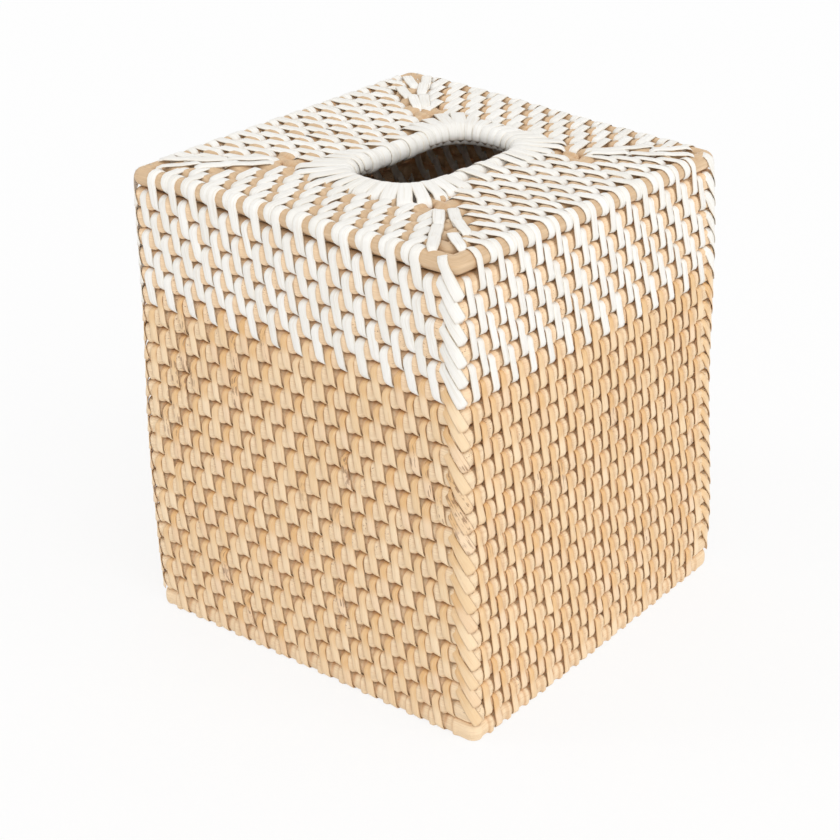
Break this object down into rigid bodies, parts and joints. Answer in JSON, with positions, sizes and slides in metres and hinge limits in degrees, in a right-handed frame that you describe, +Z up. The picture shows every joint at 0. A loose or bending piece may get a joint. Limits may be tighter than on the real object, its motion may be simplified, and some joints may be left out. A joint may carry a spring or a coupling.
{
  "type": "tissue box cover",
  "caption": "Square coiled-rattan tissue box cover, open below, with a wrapped opening in its flat top and a white-bound upper band over natural cane.",
  "frame": {"origin": "middle of the underside, on the surface that the cover stands on", "axes": "+Z up, front wall towards -Y, opening long in Y"},
  "size_m": [0.132, 0.132, 0.153],
  "materials": {
    "rattan_rod": "bare, matte",
    "natural_cane": "clear, satin",
    "white_cane": "white stain, satin"
  },
  "bodies": {
    "root": {"wall_rod_01": "rattan_rod", "wall_rod_02": "rattan_rod", "wall_rod_03": "rattan_rod", "wall_rod_04": "rattan_rod", "wall_rod_05": "rattan_rod", "wall_rod_06": "rattan_rod", "wall_rod_07": "rattan_rod", "wall_rod_08": "rattan_rod", "wall_rod_09": "rattan_rod", "wall_rod_10": "rattan_rod", "wall_rod_11": "rattan_rod", "wall_rod_12": "rattan_rod", "wall_rod_13": "rattan_rod", "wall_rod_14": "rattan_rod", "wall_rod_15": "rattan_rod", "wall_rod_16": "rattan_rod", "wall_rod_17": "rattan_rod", "wall_rod_18": "rattan_rod", "wall_rod_19": "rattan_rod", "wall_rod_20": "rattan_rod", "wall_rod_21": "rattan_rod", "wall_rod_22": "rattan_rod", "wall_rod_23": "rattan_rod", "wall_rod_24": "rattan_rod", "top_ring_1": "rattan_rod", "top_ring_2": "rattan_rod", "top_ring_3": "rattan_rod", "top_ring_4": "rattan_rod", "top_side_rod_left_1": "rattan_rod", "top_side_rod_left_2": "rattan_rod", "top_side_rod_right_1": "rattan_rod", "top_side_rod_right_2": "rattan_rod", "opening_rim_core": "rattan_rod", "natural_stitches_front": "natural_cane", "natural_stitches_right": "natural_cane", "natural_stitches_back": "natural_cane", "natural_stitches_left": "natural_cane", "natural_corner_front_right": "natural_cane", "natural_corner_back_right": "natural_cane", "natural_corner_back_left": "natural_cane", "natural_corner_front_left": "natural_cane", "white_stitches_front": "white_cane", "white_stitches_right": "white_cane", "white_stitches_back": "white_cane", "white_stitches_left": "white_cane", "white_corner_front_right": "white_cane", "white_corner_back_right": "white_cane", "white_corner_back_left": "white_cane", "white_corner_front_left": "white_cane", "top_stitches_front": "white_cane", "top_stitches_right": "white_cane", "top_stitches_back": "white_cane", "top_stitches_left": "white_cane", "opening_rim_wrap": "white_cane", "opening_rim_ties": "white_cane"}
  },
  "joints": []
}
